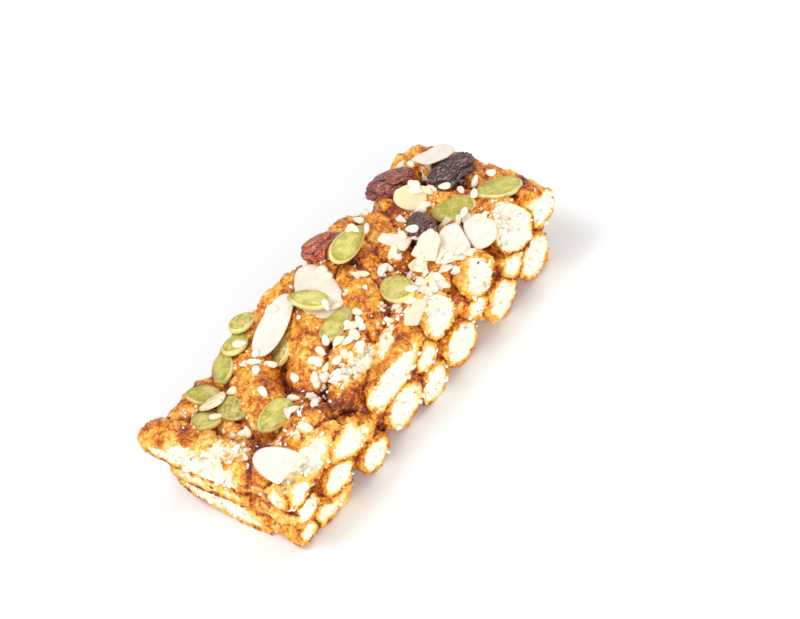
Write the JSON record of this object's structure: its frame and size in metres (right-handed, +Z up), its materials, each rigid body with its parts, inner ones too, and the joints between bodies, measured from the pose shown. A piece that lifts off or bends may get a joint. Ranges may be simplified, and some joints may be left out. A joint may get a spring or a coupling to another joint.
{
  "type": "seed bar",
  "caption": "Puffed grain sticks set in brown sugar syrup, cut as a bar and topped with pumpkin seeds, almond flakes, raisins and sesame.",
  "frame": {"origin": "on the surface that the bar rests on, under its middle", "axes": "+X along the bar's length, +Y across it away from the cut side with the open crumb, +Z up through its seeded top"},
  "size_m": [0.1123, 0.0464, 0.0268],
  "materials": {
    "baked_crust": "satin",
    "almond": "matte",
    "pumpkin_seed": "satin",
    "raisin": "satin"
  },
  "bodies": {
    "root": {"bar": "baked_crust", "almond_flake_01": "almond", "almond_flake_02": "almond", "almond_flake_03": "almond", "almond_flake_04": "almond", "almond_flake_05": "almond", "almond_flake_06": "almond", "almond_flake_07": "almond", "almond_flake_08": "almond", "almond_flake_09": "almond", "almond_flake_10": "almond", "pumpkin_seed_01": "pumpkin_seed", "pumpkin_seed_02": "pumpkin_seed", "pumpkin_seed_03": "pumpkin_seed", "pumpkin_seed_04": "pumpkin_seed", "pumpkin_seed_05": "pumpkin_seed", "pumpkin_seed_06": "pumpkin_seed", "pumpkin_seed_07": "pumpkin_seed", "pumpkin_seed_08": "pumpkin_seed", "pumpkin_seed_09": "pumpkin_seed", "pumpkin_seed_10": "pumpkin_seed", "pumpkin_seed_11": "pumpkin_seed", "pumpkin_seed_12": "pumpkin_seed", "pumpkin_seed_13": "pumpkin_seed", "pumpkin_seed_14": "pumpkin_seed", "raisin_01": "raisin", "raisin_02": "raisin", "raisin_03": "raisin", "raisin_04": "raisin", "split_seed_01": "almond"}
  },
  "joints": []
}
